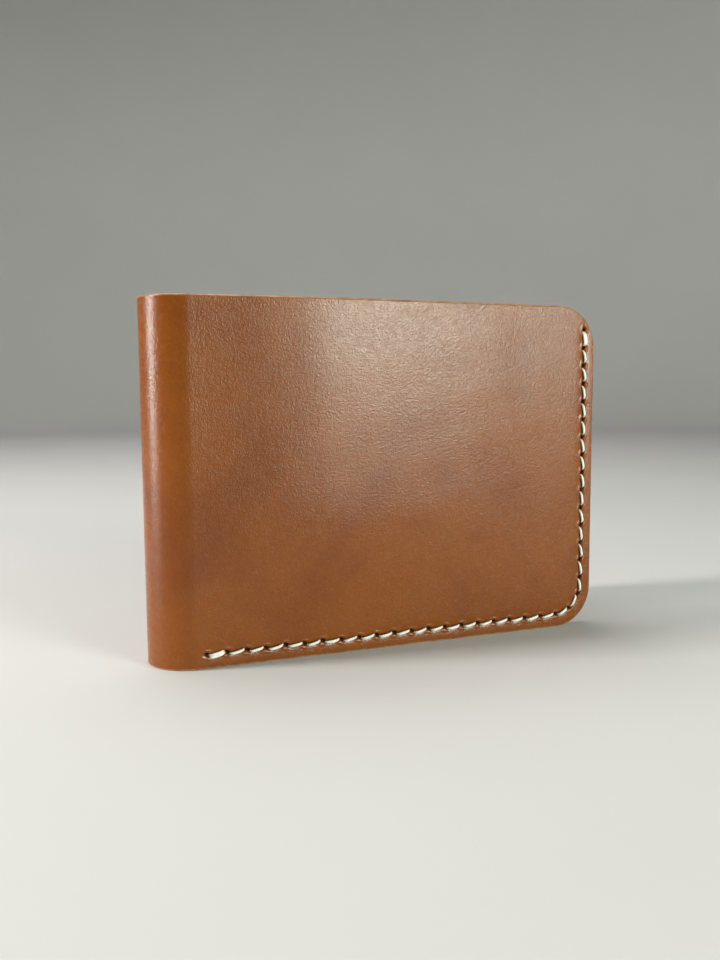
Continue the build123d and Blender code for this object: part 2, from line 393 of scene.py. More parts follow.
class Leather:
    """A sheet's thickness, how it lies, the relief of its two faces, and which face is the grain."""

    def __init__(self, thickness, burnish, middle, outside=None, inside=None, grain=OUT, seed=0):
        self.thickness = thickness
        self.burnish = burnish
        self.middle = middle
        self.relief = {OUT: outside, IN: inside}
        self.grain = grain
        self.seed = seed

    def face(self, u, rise, facing, half):
        """(level, darkness) of one face."""
        level = self.middle(u, rise) + facing * half
        if self.relief[facing] is None:
            return level, 0 * u
        height, dark = self.relief[facing](u, rise)
        return level + facing * height, dark


def face_normals(leather, u, rise, facing, half, side):
    """Normals of one face, from its slopes."""
    step = 0.02

    def at(du, dr):
        level = leather.face(u + du, rise + dr, facing, half)[0]
        return place(u + du, rise + dr, level, side)

    normal = np.cross(at(step, 0) - at(-step, 0), at(0, step) - at(0, -step))
    normal = normal / np.linalg.norm(normal, axis=1)[:, None]
    outwards = place(u, rise, 0 * u + 1, side) - place(u, rise, 0 * u, side)
    flip = np.sign((normal * outwards).sum(1)) * facing
    return normal * flip[:, None]


def add_attribute(mesh, name, kind, values):
    """Stores a value for each vertex, for the material to read."""
    attribute = mesh.attributes.new(name, kind, "POINT")
    key = "vector" if kind == "FLOAT_VECTOR" else "value"
    attribute.data.foreach_set(key, np.asarray(values, np.float32).ravel())


def build_mesh(name, vertices, faces, normals=None):
    """A smooth-shaded mesh object, with its own normals where they are given."""
    mesh = bpy.data.meshes.new(name)
    mesh.from_pydata([tuple(v) for v in vertices], [], [tuple(int(i) for i in f) for f in faces])
    mesh.update()
    mesh.polygons.foreach_set("use_smooth", [True] * len(mesh.polygons))
    if normals is not None:
        own = np.zeros(len(mesh.vertices) * 3, np.float32)
        mesh.vertex_normals.foreach_get("vector", own)
        own = own.reshape(-1, 3)
        given = np.linalg.norm(normals, axis=1) > 0.5
        own[given] = normals[given]
        mesh.normals_split_custom_set_from_vertices([tuple(n) for n in own])
    obj = bpy.data.objects.new(name, mesh)
    bpy.context.scene.collection.objects.link(obj)
    return obj


# Each piece and each half reads its own part of the leather pattern.
PIECES_APART = 40
SIDE_APART = 17


def sew_sheet(name, cut, outline, closed, leather, side, material):
    """Gives a cut sheet its thickness, its domed edge and its place."""
    flat, faces, rim = cut
    u, rise = flat[:, 0], flat[:, 1]
    distance = edge_distance(flat, outline, closed)
    share = 1 - np.clip(distance / leather.burnish, 0, 1)
    rounding = min(leather.burnish, 0.40 * leather.thickness)
    half = leather.thickness / 2 - rounding * (1 - np.sqrt(np.clip(1 - share**2, 0, 1)))
    count = len(flat)
    vertices, normals, dark, flesh, edge = [], [], [], [], []
    for facing in (OUT, IN):
        level, darkness = leather.face(u, rise, facing, half)
        vertices.append(place(u, rise, level, side))
        normal = face_normals(leather, u, rise, facing, half, side)
        normal[distance < leather.burnish * 0.999] = 0
        normals.append(normal)
        dark.append(darkness)
        flesh.append(np.full(count, 0.0 if facing == leather.grain else 1.0))
        edge.append(1 - smooth(distance, 0.0, EDGE_COLOUR_WIDTH))
    bulge = offset_line(outline, -EDGE_BULGE, closed)
    bulge_u, bulge_rise = bulge[:, 0], bulge[:, 1]
    vertices.append(place(bulge_u, bulge_rise, leather.middle(bulge_u, bulge_rise), side))
    normals.append(np.zeros((len(rim), 3)))
    dark.append(np.zeros(len(rim)))
    flesh.append(np.full(len(rim), 0.0))
    edge.append(np.full(len(rim), 1.0))
    top = faces if side == FRONT else faces[:, ::-1]
    under = (faces[:, ::-1] if side == FRONT else faces) + count
    steps = range(len(rim)) if closed else range(len(rim) - 1)
    walls = []
    for i in steps:
        j = (i + 1) % len(rim)
        a, b, c, d = rim[i], rim[j], 2 * count + j, 2 * count + i
        e, f = rim[i] + count, rim[j] + count
        quads = [(b, a, d, c), (c, d, e, f)]
        walls.extend(quads if side == FRONT else [q[::-1] for q in quads])
    all_faces = [tuple(f) for f in top] + [tuple(f) for f in under] + walls
    obj = build_mesh(name, np.concatenate(vertices), all_faces, np.concatenate(normals))
    at = np.concatenate([flat, flat, bulge])
    face_of = np.concatenate([np.full(count, 1.0), np.full(count, -1.0), np.zeros(len(rim))])
    level_at = face_of * leather.thickness / 2 + SIDE_APART * side
    leather_at = np.stack([at[:, 0] + PIECES_APART * leather.seed, at[:, 1], level_at], -1)
    add_attribute(obj.data, "leather_at", "FLOAT_VECTOR", leather_at)
    add_attribute(obj.data, "cut_edge", "FLOAT", np.concatenate(edge))
    add_attribute(obj.data, "flesh", "FLOAT", np.concatenate(flesh))
    add_attribute(obj.data, "shadow", "FLOAT", np.concatenate(dark))
    obj.data.materials.append(material)
    return obj


# Thread.

THREAD_SIDES = 12
THREAD_RINGS = 26
THREAD_LAY = 1.9  # length of one turn of the strands
THREAD_LIFT = 0.06  # the thread's centre above the leather's nominal face
THREAD_DIVE = 0.85  # how far its ends go down into the slits
THREAD_THICK = 0.30  # half sizes of the thread
THREAD_WIDE = 0.36
STITCH_JITTER = 0.05
STITCH_BOW = 0.16
DOUBLED_SHIFT = 0.30


def stitch_rings(start, end, lean, facing, level_at, side, random, shift=0.0):
    """Vertices of one stitch, from slit to slit, with its twisted strands."""
    chord = end - start
    length = np.linalg.norm(chord)
    chord = chord / length
    normal = np.array([-chord[1], chord[0]]) * lean
    jitter = random.normal(0, STITCH_JITTER, 4)
    gap = DOUBLED_GAP if shift else STITCH_GAP
    first = start + chord * (gap + jitter[0]) - normal * (STITCH_SLANT + jitter[1] + shift)
    last = end - chord * (gap + jitter[2]) + normal * (STITCH_SLANT + jitter[3] - shift)
    share = np.linspace(0, 1, THREAD_RINGS)
    share = 0.5 - 0.5 * np.cos(share * np.pi) * (0.75 + 0.25 * np.cos(share * np.pi) ** 2)
    line = first + share[:, None] * (last - first)
    bow = STITCH_BOW * random.uniform(-0.2, 1.0) * np.sin(share * np.pi)
    line = line - normal * bow[:, None]
    end_share = np.abs(2 * share - 1)
    lift = THREAD_LIFT - THREAD_DIVE * end_share**5 - 0.06 * end_share**2
    thick = THREAD_THICK * (1 - 0.25 * end_share**4)
    wide = THREAD_WIDE * (1 - 0.38 * end_share**3)
    ahead = np.gradient(line, axis=0)
    ahead = ahead / np.linalg.norm(ahead, axis=1)[:, None]
    left = np.stack([-ahead[:, 1], ahead[:, 0]], -1)
    angles = np.linspace(0, 2 * np.pi, THREAD_SIDES, endpoint=False)
    travelled = share * length
    twist = 2 * np.pi * travelled / THREAD_LAY + random.uniform(0, 6)
    strand = 1 + 0.05 * np.cos(3 * (angles[None] + twist[:, None]))
    out = np.cos(angles)[None] * wide[:, None] * strand
    up = np.sin(angles)[None] * thick[:, None] * strand
    u = line[:, 0, None] + left[:, 0, None] * out
    rise = line[:, 1, None] + left[:, 1, None] * out
    base = level_at(line[:, 0], line[:, 1])
    level = base[:, None] + facing * (lift[:, None] + up)
    points = place(u.ravel(), rise.ravel(), level.ravel(), side)
    turned = np.tile(angles, THREAD_RINGS) + np.repeat(twist, THREAD_SIDES)
    own = 0 * turned + random.uniform()
    twist_at = np.stack([np.repeat(travelled, THREAD_SIDES), turned, own], -1)
    return points, twist_at


def tube_faces(first):
    """Faces of one closed stitch whose vertices start at first."""
    faces = []
    for ring in range(THREAD_RINGS - 1):
        for k in range(THREAD_SIDES):
            a = first + ring * THREAD_SIDES + k
            b = first + ring * THREAD_SIDES + (k + 1) % THREAD_SIDES
            faces.append((a, b, b + THREAD_SIDES, a + THREAD_SIDES))
    last = first + (THREAD_RINGS - 1) * THREAD_SIDES
    faces.append(tuple(first + k for k in reversed(range(THREAD_SIDES))))
    faces.append(tuple(last + k for k in range(THREAD_SIDES)))
    return faces


def sew(name, stations, faces_at, side, seed, backstitched=False):
    """The thread of one seam: a row of stitches on each face, given as facing, lean and level."""
    vertices, faces, twists = [], [], []
    random = np.random.default_rng(seed)
    for facing, lean, level_at in faces_at:
        for i, (start, end) in enumerate(zip(stations, stations[1:])):
            doubled = backstitched and i in (0, len(stations) - 2)
            for shift in (-DOUBLED_SHIFT, DOUBLED_SHIFT) if doubled else (0.0,):
                points, twist_at = stitch_rings(
                    start, end, lean, facing, level_at, side, random, shift
                )
                faces.extend(tube_faces(len(vertices) * THREAD_SIDES * THREAD_RINGS))
                vertices.append(points)
                twists.append(twist_at)
    obj = build_mesh(name, np.concatenate(vertices), faces)
    fix_facing(obj)
    add_attribute(obj.data, "twist_at", "FLOAT_VECTOR", np.concatenate(twists))
    obj.data.materials.append(THREAD)
    node = name.replace("_stitches", "_thread")
    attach(obj, f"{SIDE_NAMES[side]}_half")
    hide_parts(node)


def fix_facing(obj):
    """Turns every closed shell's faces outwards."""
    mesh = bmesh.new()
    mesh.from_mesh(obj.data)
    bmesh.ops.recalc_face_normals(mesh, faces=mesh.faces)
    mesh.to_mesh(obj.data)
    mesh.free()


# Materials.

def new_material(name):
    """A node material with one shader. Gives the material, its node tree and the shader."""
    material = bpy.data.materials.new(name)
    material.use_nodes = True
    tree = material.node_tree
    tree.nodes.clear()
    output = tree.nodes.new("ShaderNodeOutputMaterial")
    shader = tree.nodes.new("ShaderNodeBsdfPrincipled")
    tree.links.new(shader.outputs[0], output.inputs[0])
    return material, tree, shader


def link(tree, source, target):
    tree.links.new(source, target)


def attribute(tree, name, output="Fac"):
    node = tree.nodes.new("ShaderNodeAttribute")
    node.attribute_name = name
    return node.outputs[output]


def noise(tree, vector, scale, detail=4.0, roughness=0.55, distortion=0.0):
    node = tree.nodes.new("ShaderNodeTexNoise")
    node.inputs["Scale"].default_value = scale
    node.inputs["Detail"].default_value = detail
    node.inputs["Roughness"].default_value = roughness
    node.inputs["Distortion"].default_value = distortion
    link(tree, vector, node.inputs["Vector"])
    return node.outputs["Fac"]


def cells(tree, vector, scale, feature="F1"):
    node = tree.nodes.new("ShaderNodeTexVoronoi")
    node.feature = feature
    node.inputs["Scale"].default_value = scale
    link(tree, vector, node.inputs["Vector"])
    return node.outputs["Distance"]


def stretch(tree, vector, scale, turn=0.0):
    node = tree.nodes.new("ShaderNodeMapping")
    node.inputs["Scale"].default_value = scale
    node.inputs["Rotation"].default_value = (0, 0, turn)
    link(tree, vector, node.inputs["Vector"])
    return node.outputs["Vector"]


def ramp(tree, value, low, high, to_low=0.0, to_high=1.0):
    node = tree.nodes.new("ShaderNodeMapRange")
    node.interpolation_type = "SMOOTHSTEP"
    limits = {"From Min": low, "From Max": high, "To Min": to_low, "To Max": to_high}
    for key, number in limits.items():
        node.inputs[key].default_value = number
    link(tree, value, node.inputs["Value"])
    return node.outputs["Result"]


def maths(tree, operation, a, b):
    node = tree.nodes.new("ShaderNodeMath")
    node.operation = operation
    for socket, value in zip(node.inputs, (a, b)):
        if isinstance(value, (int, float)):
            socket.default_value = value
        else:
            link(tree, value, socket)
    return node.outputs[0]


def mix(tree, share, a, b):
    """Mixes two colours, each a tuple or a socket."""
    node = tree.nodes.new("ShaderNodeMix")
    node.data_type = "RGBA"
    for socket, value in ((node.inputs[0], share), (node.inputs[6], a), (node.inputs[7], b)):
        if isinstance(value, (int, float)):
            socket.default_value = value
        elif isinstance(value, tuple):
            socket.default_value = (*value, 1.0)
        else:
            link(tree, value, socket)
    return node.outputs[2]


def bump(tree, height, distance, strength, before=None):
    node = tree.nodes.new("ShaderNodeBump")
    node.inputs["Strength"].default_value = strength
    node.inputs["Distance"].default_value = distance
    link(tree, height, node.inputs["Height"])
    if before is not None:
        link(tree, before, node.inputs["Normal"])
    return node.outputs["Normal"]


def make_leather(name, deep, main, pale, roughness):
    """Smooth vegetable-tanned leather: grain face, fibrous flesh face and burnished cut edge."""
    material, tree, shader = new_material(name)
    at = attribute(tree, "leather_at", "Vector")
    edge = attribute(tree, "cut_edge")
    flesh = attribute(tree, "flesh")
    shadow = attribute(tree, "shadow")

    cloud = noise(tree, at, 0.035, 5.0, 0.6, 0.4)
    blotch = noise(tree, at, 0.16, 5.0, 0.62, 0.8)
    fine = noise(tree, at, 2.2, 3.0, 0.6)
    colour = mix(tree, ramp(tree, cloud, 0.30, 0.62), deep, main)
    colour = mix(tree, ramp(tree, blotch, 0.50, 0.80, 0.0, 0.30), colour, pale)
    colour = mix(tree, ramp(tree, fine, 0.35, 0.70, 0.0, 0.35), colour, deep)

    pores = cells(tree, at, 1.15)
    pore = ramp(tree, pores, 0.06, 0.16, 1.0, 0.0)
    sparse = ramp(tree, noise(tree, at, 0.33, 2.0), 0.60, 0.72)
    speck = maths(tree, "MULTIPLY", pore, sparse)
    colour = mix(tree, maths(tree, "MULTIPLY", speck, 0.75), colour, (0.045, 0.016, 0.006))

    scratch_at = stretch(tree, at, (0.06, 1.7, 1.0), 0.5)
    scratch = ramp(tree, noise(tree, scratch_at, 1.0, 2.0, 0.4, 0.3), 0.69, 0.73)
    colour = mix(tree, maths(tree, "MULTIPLY", scratch, 0.16), colour, deep)

    fibre = noise(tree, at, 3.0, 6.0, 0.8)
    flesh_colour = mix(tree, ramp(tree, fibre, 0.3, 0.7), (0.40, 0.24, 0.13), (0.58, 0.40, 0.25))
    colour = mix(tree, flesh, colour, flesh_colour)

    streak = noise(tree, stretch(tree, at, (0.35, 0.35, 5.0)), 1.0, 4.0, 0.6)
    edge_colour = mix(tree, ramp(tree, streak, 0.3, 0.7), (0.30, 0.135, 0.05), (0.52, 0.30, 0.15))
    colour = mix(tree, ramp(tree, edge, 0.45, 0.95), colour, edge_colour)
    colour = mix(tree, maths(tree, "MULTIPLY", shadow, 0.93), colour, (0.012, 0.005, 0.003))
    link(tree, colour, shader.inputs["Base Color"])

    wear = noise(tree, at, 0.5, 5.0, 0.65)
    gloss = ramp(tree, wear, 0.3, 0.75, roughness - 0.05, roughness + 0.09)
    gloss = maths(tree, "MAXIMUM", gloss, maths(tree, "MULTIPLY", flesh, 0.85))
    gloss = maths(tree, "MAXIMUM", gloss, maths(tree, "MULTIPLY", shadow, 0.9))
    link(tree, gloss, shader.inputs["Roughness"])

    grain = cells(tree, at, 3.4, "SMOOTH_F1")
    hair = cells(tree, stretch(tree, at, (1.0, 1.3, 1.0), 0.4), 1.9)
    soft = noise(tree, at, 1.1, 4.0, 0.6)
    normal = bump(tree, soft, 0.00013, 0.50)
    normal = bump(tree, grain, 0.00009, 0.60, normal)
    normal = bump(tree, ramp(tree, hair, 0.02, 0.16), 0.00009, 0.50, normal)
    rough_flesh = maths(tree, "MULTIPLY", fibre, flesh)
    normal = bump(tree, rough_flesh, 0.00035, 0.8, normal)
    link(tree, normal, shader.inputs["Normal"])

    shader.inputs["IOR"].default_value = 1.39
    shader.inputs["Coat Weight"].default_value = 0.08
    shader.inputs["Coat Roughness"].default_value = 0.24
    return material


def make_thread():
    """Waxed off-white thread with a faint twist, and painted shade between its strands."""
    material, tree, shader = new_material("waxed_thread")
    at = attribute(tree, "twist_at", "Vector")
    split = tree.nodes.new("ShaderNodeSeparateXYZ")
    link(tree, at, split.inputs[0])
    strands = maths(tree, "COSINE", maths(tree, "MULTIPLY", split.outputs["Y"], 3.0), 0)
    position = tree.nodes.new("ShaderNodeNewGeometry").outputs["Position"]
    dirt = noise(tree, position, 900.0, 4.0, 0.6)
    colour = mix(tree, ramp(tree, dirt, 0.35, 0.7), (0.95, 0.93, 0.88), (0.88, 0.84, 0.76))
    # Painted shade: the valleys between the twisted strands are darkened towards brown.
    colour = mix(tree, ramp(tree, strands, -1.0, -0.2, 0.30, 0.0), colour, (0.42, 0.33, 0.22))
    link(tree, colour, shader.inputs["Base Color"])
    fibres = noise(tree, position, 5200.0, 3.0, 0.7)
    normal = bump(tree, strands, 0.00004, 0.6)
    normal = bump(tree, fibres, 0.00003, 0.4, normal)
    link(tree, normal, shader.inputs["Normal"])
    link(tree, ramp(tree, dirt, 0.3, 0.7, 0.38, 0.55), shader.inputs["Roughness"])
    shader.inputs["Coat Weight"].default_value = 0.2
    shader.inputs["Coat Roughness"].default_value = 0.3
    shader.inputs["Sheen Weight"].default_value = 0.15
    return material


COVER_LEATHER = make_leather(
    "cover_leather",
    deep=(0.170, 0.0385, 0.0015),
    main=(0.220, 0.056, 0.002),
    pale=(0.256, 0.075, 0.004),
    roughness=0.235,
)
POCKET_LEATHER = make_leather(
    "pocket_leather",
    deep=(0.30, 0.088, 0.014),
    main=(0.37, 0.118, 0.022),
    pale=(0.42, 0.150, 0.036),
    roughness=0.34,
)
THREAD = make_thread()


# The outer leather: two covers and four pieces of spine, each spanning one hinge's share of the bend.

BEND_STEP = HINGE_BEND * SPINE_RADIUS
COVER_BURNISH = 0.62
MARGIN_WIDTH = 3.3
MARGIN_DROP = 0.08
CORNER_PULL = 0.35
COVER_BOW = 2.0
CROWN_AT = 36.0  # the cover stands out furthest here


def sewn_edge_distance(u, rise):
    """Distance from the bottom and side edges, the top edge left out.

    It follows the round bottom corner, and is drawn in a little at the top corner.
    """
    distance = np.minimum(rise, HALF_LENGTH - u)
    right, up = u - HALF_LENGTH + CORNER_BOTTOM, CORNER_BOTTOM - rise
    distance = np.where((right > 0) & (up > 0), CORNER_BOTTOM - np.hypot(right, up), distance)
    right, up = u - HALF_LENGTH + CORNER_TOP, rise - HEIGHT + CORNER_TOP
    pulled = CORNER_TOP - right * (1 + CORNER_PULL * (up / CORNER_TOP) ** 2)
    return np.where((right > 0) & (up > 0), pulled, distance)


def cover_lie(u, rise, side):
    """How the cover's outer face lies: gently uneven, and a little lower towards its sewn edges."""
    away = smooth(u, -4.0, 10.0)
    uneven = sway(u, rise, 11 + side, 55.0, 0.14) + sway(u, rise, 21 + side, 17.0, 0.030)
    outside = np.clip(1 - sewn_edge_distance(u, rise) / MARGIN_WIDTH, 0, 1)
    return (uneven - MARGIN_DROP * outside**2) * away


def cover_outside(side):
    """Relief of the cover's outer face."""

    def relief(u, rise):
        height, dark = seam_relief(u, rise, OUTER_SEAM, 1)
        return height + cover_lie(u, rise, side), dark

    return relief


def cover_bow(u, rise):
    """How far the filled cover stands out between its seams."""
    crown = smooth(u, -BEND_STEP, CROWN_AT) * (1 - smooth(u, CROWN_AT, HALF_LENGTH))
    return COVER_BOW * crown * smooth(sewn_edge_distance(u, rise), 2.0, 40.0)


def cover_middle(u, rise):
    return SPINE_RADIUS - COVER_THICKNESS / 2 + cover_bow(u, rise)


def cover_outline():
    """The cover with its share of the bend, open along the line that it shares with the spine."""
    low = arc((HALF_LENGTH - CORNER_BOTTOM, CORNER_BOTTOM), CORNER_BOTTOM, -90, 0, 40)
    high = arc((HALF_LENGTH - CORNER_TOP, HEIGHT - CORNER_TOP), CORNER_TOP, 0, 90, 40)
    return divide([(-BEND_STEP, 0), (0, 0), *low, *high, (0, HEIGHT), (-BEND_STEP, HEIGHT)], 0.5)


def cover_points():
    """Inner points of a cover: dense round the bend and along the seam."""
    bend = grid((-BEND_STEP + 0.24, 3.0), (1.5, HEIGHT - 1.5), 0.24, 1.5)
    face = grid((4.2, HALF_LENGTH - 1), (1.5, HEIGHT - 1.5), 1.9, 1.9)
    seam = seam_points(OUTER_SEAM, 0.17, 2.1)
    coarse = np.concatenate([bend, face])
    return np.concatenate([thin_out(coarse, seam, 0.5), seam])


def make_covers():
    """Both covers, each with its share of the bend."""
    outline = cover_outline()
    cut = cut_sheet(outline, False, COVER_BURNISH, cover_points())
    for side in (FRONT, REAR):
        leather = Leather(COVER_THICKNESS, COVER_BURNISH, cover_middle, cover_outside(side))
        name = f"{SIDE_NAMES[side]}_cover_leather"
        obj = sew_sheet(name, cut, outline, False, leather, side, COVER_LEATHER)
        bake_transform(obj)
        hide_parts(f"{SIDE_NAMES[side]}_cover")


def spine_middle(u, rise):
    return 0 * u + SPINE_RADIUS - COVER_THICKNESS / 2


SPINE_COLUMNS = 22


def make_spine():
    """The four pieces between the covers. Each spans one hinge, from strip middle to strip middle."""
    rows = np.concatenate([[0.0], COVER_BURNISH * (1 - np.cos(np.radians([30, 60, 90])))])
    inset = COVER_BURNISH + SHARED_INSET
    inner = np.linspace(inset, HEIGHT - inset, SHARED_ROWS)
    rises = np.concatenate([rows, inner, HEIGHT - rows[::-1]])
    for number in range(1, HINGES - 1):
        side = REAR if number < HINGES / 2 else FRONT
        order = number if side == REAR else HINGES - 1 - number
        nearest = order * HINGE_BEND
        obj = spine_piece(f"spine_leather_{number + 1}", nearest, rises, side)
        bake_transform(obj)
        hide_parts(f"spine_strip_{number}" if side == REAR else f"spine_strip_{number + 1}")
        if number == HINGES // 2:
            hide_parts(f"spine_strip_{number}")


def spine_piece(name, nearest, rises, side):
    """A piece of the bend, as a grid with a face on each side and domed upper and lower edges."""
    columns = SPINE_COLUMNS
    us = -np.linspace(nearest, nearest + HINGE_BEND, columns) * SPINE_RADIUS
    u, rise = (a.ravel() for a in np.meshgrid(us, rises))
    distance = np.minimum(rise, HEIGHT - rise)
    share = 1 - np.clip(distance / COVER_BURNISH, 0, 1)
    half = COVER_THICKNESS / 2 - COVER_BURNISH * (1 - np.sqrt(np.clip(1 - share**2, 0, 1)))
    leather = Leather(COVER_THICKNESS, COVER_BURNISH, spine_middle)
    vertices, normals = [], []
    for facing in (OUT, IN):
        vertices.append(place(u, rise, leather.face(u, rise, facing, half)[0], side))
        normal = face_normals(leather, u, rise, facing, half, side)
        normal[distance < COVER_BURNISH * 0.999] = 0
        normals.append(normal)
    for edge_rise in (-EDGE_BULGE, HEIGHT + EDGE_BULGE):
        vertices.append(place(us, us * 0 + edge_rise, spine_middle(us, us), side))
        normals.append(np.zeros((columns, 3)))
    count, rows = len(u), len(rises)
    faces = []
    for row in range(rows - 1):
        for k in range(columns - 1):
            a = row * columns + k
            quad = (a, a + 1, a + 1 + columns, a + columns)
            faces.append(quad[::-1])
            faces.append(tuple(i + count for i in quad))
    for k in range(columns - 1):
        low, high = 2 * count + k, 2 * count + columns + k
        last = (rows - 1) * columns + k
        faces.append((k, k + 1, low + 1, low))
        faces.append((low, low + 1, k + 1 + count, k + count))
        faces.append((high, high + 1, last + 1, last))
        faces.append((last + count, last + 1 + count, high + 1, high))
    if side == REAR:
        faces = [f[::-1] for f in faces]
    obj = build_mesh(name, np.concatenate(vertices), faces, np.concatenate(normals))
    at_u = np.concatenate([u, u, us, us])
    at_rise = np.concatenate([rise, rise, us * 0, us * 0 + HEIGHT])
    facing = np.concatenate([np.ones(count), -np.ones(count), np.zeros(2 * columns)])
    level_at = facing * COVER_THICKNESS / 2 + SIDE_APART * side
    leather_at = np.stack([at_u, at_rise, level_at], -1)
    edge = 1 - smooth(np.minimum(at_rise, HEIGHT - at_rise), 0.0, EDGE_COLOUR_WIDTH)
    add_attribute(obj.data, "leather_at", "FLOAT_VECTOR", leather_at)
    add_attribute(obj.data, "cut_edge", "FLOAT", edge)
    add_attribute(obj.data, "flesh", "FLOAT", (facing < 0).astype(float))
    add_attribute(obj.data, "shadow", "FLOAT", 0 * edge)
    obj.data.materials.append(COVER_LEATHER)
    return obj


# The pockets.

POCKET_BURNISH = 0.32
OUTLINE_STEP = 0.8
CREASE_DROP = 2.2  # the crease runs this far under a lip
CREASE_WIDTH = 0.28
CREASE_DEPTH = 0.12
CREASE_DARKNESS = 0.30


def cash_middle(u, rise):
    """The cash panel meets the cover along its sewn edges and stands off it elsewhere."""
    away = smooth(np.minimum(rise, HALF_LENGTH - u), SIDE_MARGIN, SIDE_MARGIN + RAMP)
    return CASH_SEWN_LEVEL + (CASH_LEVEL - CASH_SEWN_LEVEL) * away


def cash_inside(u, rise):
    return cash_middle(u, rise) - PANEL_THICKNESS / 2


def slot_middle(level, lip):
    """A slot panel lies on the cash panel at its sides and foot, and rises to its own level."""

    def middle(u, rise):
        side = np.minimum(u - POCKET_START, HALF_LENGTH - u)
        foot = rise - (lip - SLOT_DEPTH)
        away = smooth(side, SIDE_MARGIN, STEM_INSET) * smooth(foot, FOOT_MARGIN, FOOT_MARGIN + RAMP)
        sewn = cash_inside(u, rise) - SLOT_LEATHER / 2
        return sewn + (level - sewn) * away

    return middle


def pocket_middle(u, rise):
    side = np.minimum(np.minimum(u - POCKET_START, HALF_LENGTH - u), rise - 1.0)
    away = smooth(side, SIDE_MARGIN, SIDE_MARGIN + RAMP)
    sewn = cash_inside(u, rise) - PANEL_THICKNESS / 2
    return sewn + (POCKET_LEVEL - sewn) * away


def pocket_relief(seams, seed, lip):
    """Relief of a pocket's visible face: its seams, a crease under its lip and gentle waves."""

    def relief(u, rise):
        height, dark = sway(u, rise, seed, 40.0, 0.05), 0 * u
        for stations in seams:
            more, darker = seam_relief(u, rise, stations, -1)
            height, dark = height + more, np.maximum(dark, darker)
        crease = np.exp(-(((rise - lip + CREASE_DROP) / CREASE_WIDTH) ** 2))
        return height - CREASE_DEPTH * crease, np.maximum(dark, CREASE_DARKNESS * crease)

    return relief


def tee_outline(lip):
    """A T-shaped slot panel."""
    foot, wing = lip - SLOT_DEPTH, lip - WING_HEIGHT
    left, right = POCKET_START + STEM_INSET, HALF_LENGTH - STEM_INSET
    corners = [
        (left, foot),
        (right, foot),
        (right, wing),
        (HALF_LENGTH, wing),
        (HALF_LENGTH, lip),
        (POCKET_START, lip),
        (POCKET_START, wing),
        (left, wing),
    ]
    return divide([*corners, corners[0]], OUTLINE_STEP)[:-1]


def cash_outline():
    low = arc((HALF_LENGTH - CORNER_BOTTOM, CORNER_BOTTOM), CORNER_BOTTOM, -90, 0, 30)
    high = arc((HALF_LENGTH - CASH_CORNER, CASH_TOP - CASH_CORNER), CASH_CORNER, 0, 90, 16)
    corners = [(POCKET_START, 0), *low, *high, (POCKET_START, CASH_TOP)]
    return divide([*corners, corners[0]], OUTLINE_STEP)[:-1]


def card_pocket_outline():
    low = arc((HALF_LENGTH - CORNER_BOTTOM, CORNER_BOTTOM), CORNER_BOTTOM, -90, 0, 30)
    corners = [(POCKET_START, 0), *low, (HALF_LENGTH, LOWER_LIP), (POCKET_START, LOWER_LIP)]
    return divide([*corners, corners[0]], OUTLINE_STEP)[:-1]


def crease_rows(lip):
    """Points that carry the crease under a lip."""
    rows = []
    for rise in lip - np.arange(1.4, 3.1, 0.2):
        # A grid of no height holds each point twice, so every other one is left out.
        rows.append(grid((POCKET_START + 1, HALF_LENGTH - 1), (rise, rise), 1.0, 1.0)[::2])
    return np.concatenate(rows)


def make_pocket_piece(name, outline, thickness, middle, seams, lip, seed):
    """One pocket sheet in each half, its grain face inwards."""
    low, high = outline.min(0), outline.max(0)
    dense = [seam_points(s, 0.22, 1.6) for s in seams]
    fine = np.concatenate([*dense, crease_rows(lip)])
    coarse = grid((low[0] + 0.9, high[0] - 0.9), (low[1] + 0.9, high[1] - 0.9), 1.5, 1.5)
    inner = np.concatenate([thin_out(coarse, fine, 0.5), fine])
    cut = cut_sheet(outline, True, POCKET_BURNISH, inner)
    for side in (FRONT, REAR):
        relief = pocket_relief(seams, seed + side, lip)
        leather = Leather(thickness, POCKET_BURNISH, middle, inside=relief, grain=IN, seed=seed)
        full_name = f"{SIDE_NAMES[side]}_{name}_leather"
        obj = sew_sheet(full_name, cut, outline, True, leather, side, POCKET_LEATHER)
        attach(obj, f"{SIDE_NAMES[side]}_half")
        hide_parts(f"{SIDE_NAMES[side]}_{name}")


def make_pockets():
    """The cash panel, the two card slot panels and the card pocket of each half."""
    seams = [OUTER_SEAM]
    make_pocket_piece(
        "cash_panel", cash_outline(), PANEL_THICKNESS, cash_middle, seams, CASH_TOP, 31
    )
    for name, lip, level, seed in (
        ("upper_slot_panel", UPPER_LIP, UPPER_LEVEL, 41),
        ("middle_slot_panel", MIDDLE_LIP, MIDDLE_LEVEL, 51),
    ):
        seams = [OUTER_SEAM, INNER_SEAM, foot_seam(lip)]
        middle = slot_middle(level, lip)
        make_pocket_piece(name, tee_outline(lip), SLOT_LEATHER, middle, seams, lip, seed)
    seams = [OUTER_SEAM, INNER_SEAM]
    make_pocket_piece(
        "card_pocket", card_pocket_outline(), PANEL_THICKNESS, pocket_middle, seams, LOWER_LIP, 61
    )


